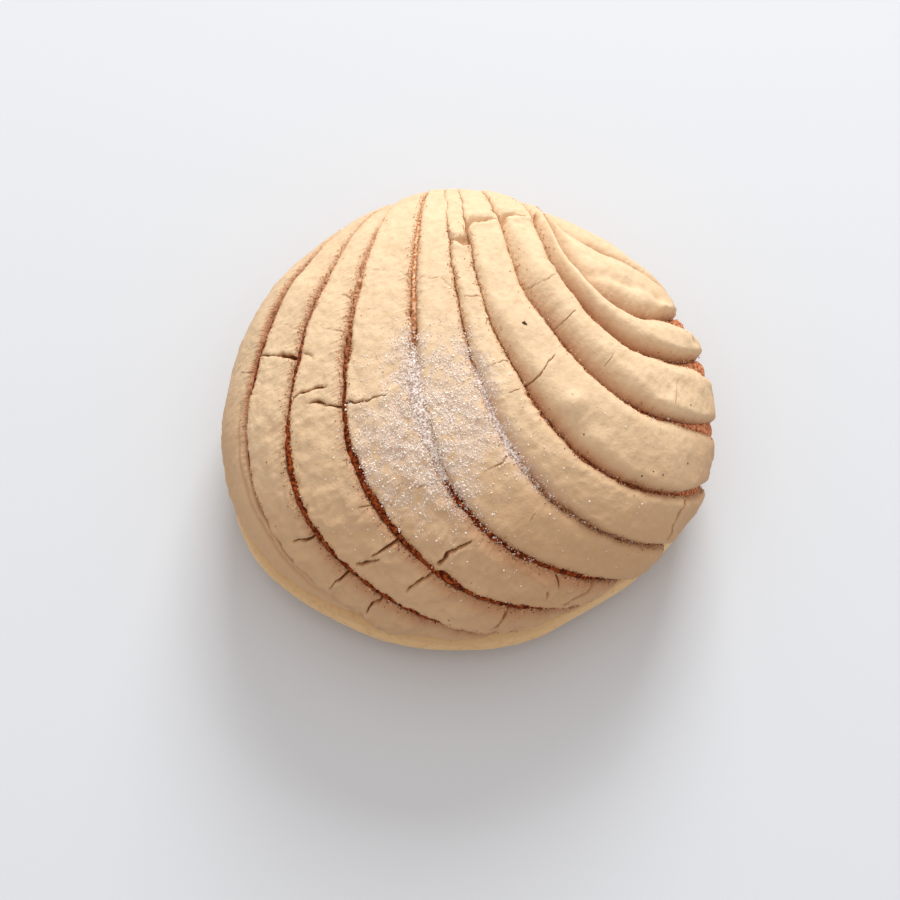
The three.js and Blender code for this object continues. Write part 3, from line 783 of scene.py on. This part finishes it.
def sugar_paste():
    """Dry baked sugar paste: matt and creamy, brown at the foot of the edges and dark in the cracks, with
    painted shade towards the front and along the left cuts of the sloped strips.
    """
    material, tree, surface, place = blank("sugar_paste")
    mark = {
        name: add(tree, "Attribute", attribute_name=name).outputs["Fac"]
        for name in ("front_shade_and_rim", "feather", "edge", "foot", "crack", "dust", "comb", "along")
    }
    blotch, mottle, grain = (
        add(tree, "TexNoise", {"Vector": place, "Scale": 1 / (size * MM), "Detail": detail}).outputs["Fac"]
        for size, detail in ((7, 4), (1.5, 3), (0.5, 5))
    )
    # Fine lines across the edges of the first strips, where the cutter dragged the paste.
    lines = {"W": mark["along"], "Scale": HAIRS_PER_MM, "Detail": 2}
    hairs = add(tree, "TexNoise", lines, noise_dimensions="1D")
    hair = add(tree, "MapRange", {0: hairs.outputs["Fac"], 1: 0.5, 2: 0.62}).outputs[0]
    combed = add(tree, "Math", {0: hair, 1: mark["comb"]}, operation="MULTIPLY").outputs[0]
    layers = [
        (blotch, "DDB990"),
        # Darker in front, which is painted shade, and towards the rim.
        (mark["front_shade_and_rim"], "C59B71"),
        (add(tree, "MapRange", {0: mottle, 1: 0.45, 2: 0.75, 3: 0.0, 4: 0.5}).outputs[0], "CDA67C"),
        (mark["feather"], "D6AE82"),
        (add(tree, "MapRange", {0: combed, 3: 0.0, 4: 0.6}).outputs[0], "C48A66"),
        # Brown along the cuts; on the left cuts of the sloped strips and in the fold this is painted shade.
        (mark["edge"], "AA683E"),
        (mark["foot"], "8A4420"),
        (add(tree, "MapRange", {0: mark["crack"], 1: 0.0, 2: 0.5}).outputs[0], "BE8450"),
        (add(tree, "MapRange", {0: mark["crack"], 1: 0.35, 2: 0.9}).outputs[0], "5A3018"),
        (add(tree, "MapRange", {0: mark["dust"], 3: 0.0, 4: 0.5}).outputs[0], "DCC4B4"),
    ]
    paste = linear("EBCCA4")
    for share, code in layers:
        layer = {FACTOR: share, FIRST: paste, SECOND: linear(code)}
        paste = add(tree, "Mix", layer, data_type="RGBA").outputs[MIXED]
    scored = add(tree, "Bump", {"Height": combed, "Strength": 0.6, "Distance": 0.2 * MM}, invert=True)
    pitted = add(
        tree, "Bump", {"Height": mottle, "Strength": 0.6, "Distance": 0.4 * MM, "Normal": scored.outputs[0]}
    )
    bump = add(
        tree, "Bump", {"Height": grain, "Strength": 0.6, "Distance": 0.15 * MM, "Normal": pitted.outputs[0]}
    )
    wire(tree, surface, {
        "Base Color": paste,
        "Roughness": 0.72,
        "IOR": 1.45,
        "Specular IOR Level": add(tree, "MapRange", {0: mark["foot"], 3: 0.5, 4: 0.1}).outputs[0],
        "Normal": bump.outputs[0],
    })
    return material


paste = sugar_paste()
left_sides = [Side(rim_line(CUTS[0][0], CUTS[0][1]))]
for i, line in enumerate(cut_lines):
    on_along_rim = [rim_line(CUTS[i][1], CUTS[i + 1][1])[1:]] if i < FRONT_STRIPS else []
    left_sides.append(Side(line, *on_along_rim))
right_sides = [Side(line) for line in cut_lines] + [Side(rim_line(CUTS[-1][0], CUTS[-1][1] - 360))]
RIM_EDGE = (0, 0, -1, 2)
edges = [RIM_EDGE, *(row[4:] for row in CUTS), RIM_EDGE]
tops = []
for number in range(len(STRIPS)):
    strip = Strip(number, left_sides[number], right_sides[number], edges[number : number + 2])
    piece = loft(f"paste_{number + 1:02d}", strip.loops(), strip.marks())
    piece.data.materials.append(paste)
    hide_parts(f"paste_strip_{number + 1:02d}")
    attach(piece, "root")
    tops.append(strip.top())


# Risen crumb: dough that pushed up between the strips as the bun rose and tore along the cuts, so it stands
# rough and red-brown in them, highest where the cuts gape at the far rim. Baked in one with the bun.

# For each cut: level in mm near the hinge, along the middle and at the far rim, how dark it baked, and the
# share of the cut at which it ends.
RISEN_CRUMB = [
    (1.1, 1.1, 1.2, 1, 0.92),
    (1.3, 1.3, 1.0, 1, 0.975),
    (1.3, 1.3, 1.0, 1, 0.975),
    (1.9, 0.9, 0.9, 1, 0.975),
    (1.8, 0.9, 1.0, 0.6, 0.975),
    (1.8, 0.9, 1.6, 0.9, 0.975),
    (1.6, 0.9, 2.4, 1, 0.975),
    (1.2, 0.9, 2.8, 1, 0.95),
    (1.2, 0.9, 2.6, 1, 0.92),
    (0.5, 0.5, 0.5, 1, 0.975),
]
GAPING_FROM = 6
NEAR_RUN = (0.48, 0.26)
FAR_RUN = (0.8, 0.96)
CRUMB_PITCH = 0.3
CRUMB_ACROSS = 9
CRUMB_TUCK = 0.3
CRUMB_SPREAD = 1.2
CRUMB_END = 2.5
CRUMB_ROUGH = 0.16
BANK_GRAIN = [(1, 1.0, 0), (0.7, 0.5, 1)]


def bank(name, line, half, level, rough, seed, front):
    """A low rough bank along a line on the flat disc, closed below, and its places on top."""
    reach = np.linspace(-1, 1, CRUMB_ACROSS)
    aside = np.gradient(line, axis=0)[:, ::-1] * (1, -1)
    aside /= np.linalg.norm(aside, axis=1, keepdims=True)
    flat = line[:, None] + aside[:, None] * (half[:, None] * reach)[..., None]
    lift = level[:, None] * (1 - 0.4 * reach**2) + rough * relief(flat, BANK_GRAIN, seed)
    lift[:, [0, -1]] = lift[[0, -1]] = SUNK_LIFT
    bed = drape(flat[:, [0, -1]], np.full((len(line), 2), BED_LIFT))
    loops = np.concatenate([bed, drape(flat, lift)[:, ::-1]], axis=1)
    return loft(name, loops, {"front": np.broadcast_to(front[:, None], loops.shape[:2])}), flat, lift


def torn_crumb():
    """Torn bread crust: rough and matt, pale near the hinge, red-brown in front, orange at the right ends."""
    material, tree, surface, place = blank("torn_crumb")
    fleck = add(tree, "TexNoise", {"Vector": place, "Scale": 1 / (0.7 * MM), "Detail": 4}).outputs["Fac"]
    patch = add(tree, "MapRange", {0: fleck, 1: 0.4, 2: 0.6}).outputs[0]
    crusts = []
    for low, high in (("C27644", "F8D0A6"), ("4A1806", "A24A1E"), ("AE5228", "F0A476")):
        patches = {FACTOR: patch, FIRST: linear(low), SECOND: linear(high)}
        crusts.append(add(tree, "Mix", patches, data_type="RGBA").outputs[MIXED])
    pale, dark, fresh = crusts
    front = add(tree, "Attribute", attribute_name="front").outputs["Fac"]
    crust = add(tree, "Mix", {FACTOR: front, FIRST: pale, SECOND: dark}, data_type="RGBA").outputs[MIXED]
    side = add(tree, "SeparateXYZ", {0: place}).outputs["X"]
    end = add(tree, "MapRange", {0: side, 1: 42 * MM, 2: 51 * MM, 3: 0.0, 4: 0.8}).outputs[0]
    colour = add(tree, "Mix", {FACTOR: end, FIRST: crust, SECOND: fresh}, data_type="RGBA")
    bump = add(tree, "Bump", {"Height": fleck, "Strength": 0.8, "Distance": 0.25 * MM})
    wire(tree, surface, {
        "Base Color": colour.outputs[MIXED],
        "Roughness": 0.8,
        "Specular IOR Level": 0.08,
        "Normal": bump.outputs[0],
    })
    return material


torn = torn_crumb()
crumb_tops = []
for index, (line, row, (near_level, mid_level, far_level, dark, end)) in enumerate(
    zip(cut_lines, CUTS, RISEN_CRUMB)
):
    opening, notch, closed, healed = row[4:]
    side = Side(line)
    share = np.arange(closed, end, CRUMB_PITCH / side.length)
    wide = openness(share, closed, healed)
    far = smooth(*FAR_RUN, share)
    half = (opening * wide + notch * smooth(*NOTCH_RUN, share)) / 2 + CRUMB_TUCK + CRUMB_SPREAD * far
    level = mid_level + (far_level - mid_level) * far
    level = level + (near_level - mid_level) * smooth(*NEAR_RUN, share)
    level = level + STRIPS[index].get("plump", 0) * smooth(0.4, 0.6, share) * (1 - far)
    level = level * rounded((share[-1] + 0.01 - share) * side.length, CRUMB_END)
    front = smooth(0.08 * index, 0.45, share) if index < FRONT_STRIPS else smooth(0.25, 0.5, share)
    front = dark * front * (1 - 0.42 * smooth(0.72, 0.9, share) * (index >= GAPING_FROM))
    rough = (CRUMB_ROUGH + CRUMB_ROUGH * smooth(0.5, 0.3, share))[:, None]
    crumb, flat, lift = bank(f"crumb_{index + 1:02d}", side.at(share), half, level, rough, 200 + index, front)
    crumb_tops.append(np.concatenate([flat, lift[..., None]], -1)[1:-1, 2:-2].reshape(-1, 3))
    crumb.data.materials.append(torn)
    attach(crumb, "root")


# Loose crumbs: bits of paste and crust that broke off as the cuts tore, lodged along both edges of each cut.
# Most are under half a millimetre, and they give the cuts their speckled, ragged look.
CRUMB_SIZE = 0.33
SIZE_RANGE = (0.6, 1.5)
CRUMB_STRAY = 0.12
CRUMBS_PER_MM2 = 18
CRUMBED_CUTS = 9
LEFT_SHED, RIGHT_SHED = 4, 5
GRAIN_CORNERS = (0.75, 1.3)
GRAIN_REACH = 0.6
draw = np.random.default_rng(7)


def scatter(name, places, sizes, flatness):
    """One mesh of small rough eight-sided grains at places in mm, each turned at random."""
    number = len(places)
    points = np.concatenate([np.eye(3), -np.eye(3)])
    faces = np.array([(0, 1, 2), (1, 3, 2), (3, 4, 2), (4, 0, 2), (1, 0, 5), (3, 1, 5), (4, 3, 5), (0, 4, 5)])
    turn = draw.normal(0, 1, (number, 4))
    w, x, y, z = (turn / np.linalg.norm(turn, axis=1, keepdims=True)).T
    rows = [
        [1 - 2 * (y * y + z * z), 2 * (x * y - w * z), 2 * (x * z + w * y)],
        [2 * (x * y + w * z), 1 - 2 * (x * x + z * z), 2 * (y * z - w * x)],
        [2 * (x * z - w * y), 2 * (y * z + w * x), 1 - 2 * (x * x + y * y)],
    ]
    spin = np.transpose(np.array(rows), (2, 0, 1))
    shape = points[None] * draw.uniform(*GRAIN_CORNERS, (number, 6, 1))
    shape = shape * draw.uniform(flatness, 1, (number, 1, 3))
    corners = np.einsum("nij,nkj->nki", spin, shape) * sizes[:, None, None] * GRAIN_REACH + places[:, None]
    faces = (faces[None] + 6 * np.arange(number)[:, None, None]).reshape(-1, 3)
    mesh = bpy.data.meshes.new(name)
    mesh.from_pydata((corners.reshape(-1, 3) * MM).tolist(), [], faces.tolist())
    piece = bpy.data.objects.new(name, mesh)
    bpy.context.scene.collection.objects.link(piece)
    return piece


def loose_crumb():
    """Dry crumbs: matt, some cream from the paste and some of torn crust, which is darker in front."""
    material, tree, surface, place = blank("loose_crumb")
    sort = add(tree, "TexNoise", {"Vector": place, "Scale": 1 / (0.5 * MM), "Detail": 1}).outputs["Fac"]
    mixing = add(tree, "MapRange", {0: sort, 1: 0.4, 2: 0.54}).outputs[0]
    side = add(tree, "SeparateXYZ", {0: place}).outputs["Y"]
    back = add(tree, "MapRange", {0: side, 1: -20 * MM, 2: 12 * MM}).outputs[0]
    colour = linear("6A3416")
    for share, code in ((back, "BE7844"), (mixing, "DCB488")):
        layer = {FACTOR: share, FIRST: colour, SECOND: linear(code)}
        colour = add(tree, "Mix", layer, data_type="RGBA").outputs[MIXED]
    wire(tree, surface, {"Base Color": colour, "Roughness": 0.8, "IOR": 1.45})
    return material


places = []
for index in range(CRUMBED_CUTS):
    for strip_top, shed in ((tops[index], RIGHT_SHED), (tops[index + 1], LEFT_SHED)):
        chance = strip_top[:, shed]
        count = int(CRUMBS_PER_MM2 * chance.sum())
        pick = strip_top[draw.choice(len(chance), count, p=chance / chance.sum())]
        places.append(drape(pick[:, :2] + draw.normal(0, CRUMB_STRAY, (len(pick), 2)), pick[:, 2]))
places = np.concatenate(places)
sizes = CRUMB_SIZE * draw.uniform(*SIZE_RANGE, len(places))
crumbs = scatter("loose_crumbs", places, sizes, 0.6)
crumbs.data.materials.append(loose_crumb())
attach(crumbs, "root")


# Burnt specks: a few bits of the paste that scorched in the oven, baked into the strips, most of them into
# the seventh. The largest is about a millimetre across.
SPECKS = [
    ((13.3, 9.7), 1.3), ((38.6, -21.7), 0.5), ((40.8, -20.5), 0.5), ((43.4, -20.5), 0.5),
    ((49.1, -4.4), 0.55), ((50.7, -16.9), 0.6), ((-43.2, -18.2), 0.5), ((25, -14.3), 0.45),
]
SPECK_GRAINS = 6
SPECK_SUNK = 0.3


def scorched_paste():
    """Scorched paste: dull and near black, brown where it is less burnt."""
    material, tree, surface, place = blank("scorched_paste")
    char = add(tree, "TexNoise", {"Vector": place, "Scale": 1 / (0.4 * MM), "Detail": 3}).outputs["Fac"]
    colour = add(
        tree, "Mix", {FACTOR: char, FIRST: linear("1E120A"), SECOND: linear("5A3A1E")}, data_type="RGBA"
    )
    wire(tree, surface, {"Base Color": colour.outputs[MIXED], "Roughness": 0.7})
    return material


top = np.concatenate(tops)
places = []
for place, size in SPECKS:
    nearest = top[np.linalg.norm(top[:, :2] - place, axis=1).argmin()]
    places.append(drape(nearest[:2], nearest[2] - SPECK_SUNK * size))
places = np.repeat(places, SPECK_GRAINS, axis=0)
sizes = np.repeat([size for place, size in SPECKS], SPECK_GRAINS)
specks = scatter("burnt_specks", places, sizes, 0.9)
specks.data.materials.append(scorched_paste())
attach(specks, "root")


# Sugar: white granulated sugar strewn on the paste before baking. The grains lie thick on the strips left of
# the middle, fill the two cuts there to the brim, and grow sparse towards the rim. They baked into the paste.
GRAIN_SIZE = 0.36
GRAIN_STRAY = 0.3
DUST_SIZE = 0.2
DUST_RANGE = (0.7, 1.4)
DUST_COUNT = 6000
# Heaps, as (cut, from and to along Y in mm, brim in mm, grains for each mm2).
HEAPED_CUTS = [(3, -34, 11, 2.6, 7.0), (4, -31, 8, 1.8, 4.0)]
HEAP_HALF = 2.5
HEAP_SPILL = 1.0
HEAP_ROUGH = 0.3
TRAIL_GRAINS = 72
TRAIL_RANGE = (0.6, 1.3)
TRAIL_REACH = (-10, 14)
GRAIN_LIFT = 0.1
draw = np.random.default_rng(11)
chance = sugar_strewn(top[:, :2]) * top[:, 3]
count = int(chance.sum())
on_strips = top[draw.choice(len(top), count + DUST_COUNT, p=chance / chance.sum())]
places = [drape(on_strips[:, :2] + draw.normal(0, GRAIN_STRAY, (len(on_strips), 2)), on_strips[:, 2])]
sizes = [np.concatenate([
    GRAIN_SIZE * draw.uniform(*SIZE_RANGE, count), DUST_SIZE * draw.uniform(*DUST_RANGE, DUST_COUNT),
])]


def sugar_crystal(name, light, dark):
    """Sugar crystals: clear and glossy, with white and mauve-grey in small patches, painted highlights on the
    grains and painted shade between them.
    """
    material, tree, surface, place = blank(name)
    glint_and_shade = add(tree, "TexNoise", {"Vector": place, "Scale": 1 / (0.5 * MM), "Detail": 3}).outputs["Fac"]
    shade = add(tree, "MapRange", {0: glint_and_shade, 1: 0.42, 2: 0.58}).outputs[0]
    colour = add(tree, "Mix", {FACTOR: shade, FIRST: linear(dark), SECOND: linear(light)}, data_type="RGBA")
    wire(tree, surface, {"Base Color": colour.outputs[MIXED], "Roughness": 0.35, "IOR": 1.54})
    return material


# The light colours are painted highlights and the dark ones painted shade between grains, darker in the
# packed sugar of the cuts.
crystal = sugar_crystal("sugar_crystal", "FFF6E8", "DCC2B0")
packed = sugar_crystal("packed_sugar", "F4E2D6", "B69686")
for index, low, high, brim, grains in HEAPED_CUTS:
    line = cut_lines[index]
    side = Side(line[(line[:, 1] > low) & (line[:, 1] < high)])
    share = np.arange(0, 1, CRUMB_PITCH / side.length)
    swell = smooth(0, 0.3, share) * (1 - smooth(0.55, 1, share))
    half = HEAP_HALF * (0.3 + 0.7 * swell)
    level = brim * (0.15 + 0.85 * swell)
    name = f"sugar_heap_{index + 1:02d}"
    heap, flat, lift = bank(name, side.at(share), half, level, HEAP_ROUGH, 300 + index, swell)
    heap.data.materials.append(packed)
    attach(heap, "root")
    flat, lift = flat[2:-2, 1:-1].reshape(-1, 2), lift[2:-2, 1:-1].ravel()
    pick = draw.integers(0, len(flat), int(grains * side.length * 2 * HEAP_HALF))
    fill = np.clip(lift[pick] / brim, 0, 1)[:, None]
    spilt = flat[pick] + draw.normal(0, 1, (len(pick), 2)) * HEAP_SPILL * fill
    places.append(drape(spilt, lift[pick] + GRAIN_LIFT))
    sizes.append(GRAIN_SIZE * draw.uniform(*SIZE_RANGE, len(pick)))
    trail = crumb_tops[index]
    trail = trail[(trail[:, 1] > low + TRAIL_REACH[0]) & (trail[:, 1] < low + TRAIL_REACH[1])]
    trail = trail[draw.integers(0, len(trail), TRAIL_GRAINS)]
    places.append(drape(trail[:, :2], trail[:, 2] + GRAIN_LIFT))
    sizes.append(GRAIN_SIZE * draw.uniform(*TRAIL_RANGE, len(trail)))
sugar = scatter("sugar_strewn", np.concatenate(places), np.concatenate(sizes), 0.7)
sugar.data.materials.append(crystal)
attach(sugar, "root")


# Stage: a plain floor of pale matt paper, a soft cool light from behind, a weak one from above, and even
# light all round. The camera looks down on the bun as in the photograph, from about half a metre.
FLOOR_SIZE = 4.0
mesh = bpy.data.meshes.new("floor")
half = FLOOR_SIZE / 2
mesh.from_pydata([(-half, -half, 0), (half, -half, 0), (half, half, 0), (-half, half, 0)], [], [(0, 1, 2, 3)])
floor = bpy.data.objects.new("floor", mesh)
bpy.context.scene.collection.objects.link(floor)
paper, tree, surface = blank("matt_paper")[:3]
wire(tree, surface, {"Base Color": linear("D5D5D6"), "Roughness": 0.9})
mesh.materials.append(paper)
floor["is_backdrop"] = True

# Lights, as (name, size in m, power in W, colour, turn and rise in degrees, distance in m).
LIGHTS = [
    ("window", 0.68, 23.0, (0.9, 0.96, 1.0), 9, 30, 1.5),
    ("ceiling", 1.6, 4.5, (1.0, 0.99, 1.0), 0, 88, 1.2),
]
for name, size, power, colour, turn, rise, distance in LIGHTS:
    lamp_data = bpy.data.lights.new(name, "AREA")
    lamp_data.size = size
    lamp_data.energy = power
    lamp_data.color = colour
    lamp = bpy.data.objects.new(name, lamp_data)
    turn, rise = np.radians(turn), np.radians(rise)
    towards = np.array([np.sin(turn) * np.cos(rise), np.cos(turn) * np.cos(rise), np.sin(rise)])
    lamp.location = towards * distance
    lamp.rotation_mode = "QUATERNION"
    lamp.rotation_quaternion = Vector(towards).to_track_quat("Z", "Y")
    bpy.context.scene.collection.objects.link(lamp)

world = bpy.data.worlds.new("room")
world.use_nodes = True
wire(world.node_tree, world.node_tree.nodes["Background"], {"Color": (1.0, 0.99, 1.0, 1), "Strength": 0.57})
bpy.context.scene.world = world
bpy.context.scene.view_settings.view_transform = "Standard"

CAMERA_ELEVATION = np.radians(70)
CAMERA_DISTANCE = 550
CAMERA_TARGET = np.array([-4.2, -9.7, 20])
PIXELS_PER_MM = 4.25
PICTURE_PIXELS = 900
camera_data = bpy.data.cameras.new("camera")
camera_data.sensor_width = 36
camera_data.lens = PIXELS_PER_MM * CAMERA_DISTANCE / PICTURE_PIXELS * camera_data.sensor_width
camera = bpy.data.objects.new("camera", camera_data)
backwards = np.array([0, -np.cos(CAMERA_ELEVATION), np.sin(CAMERA_ELEVATION)])
camera.location = (CAMERA_TARGET + backwards * CAMERA_DISTANCE) * MM
camera.rotation_mode = "QUATERNION"
camera.rotation_quaternion = Vector(backwards).to_track_quat("Z", "Y")
bpy.context.scene.collection.objects.link(camera)
bpy.context.scene.camera = camera

sizes = {"cad": [list(c) for c in cad_box], "visual": [list(c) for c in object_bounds()]}
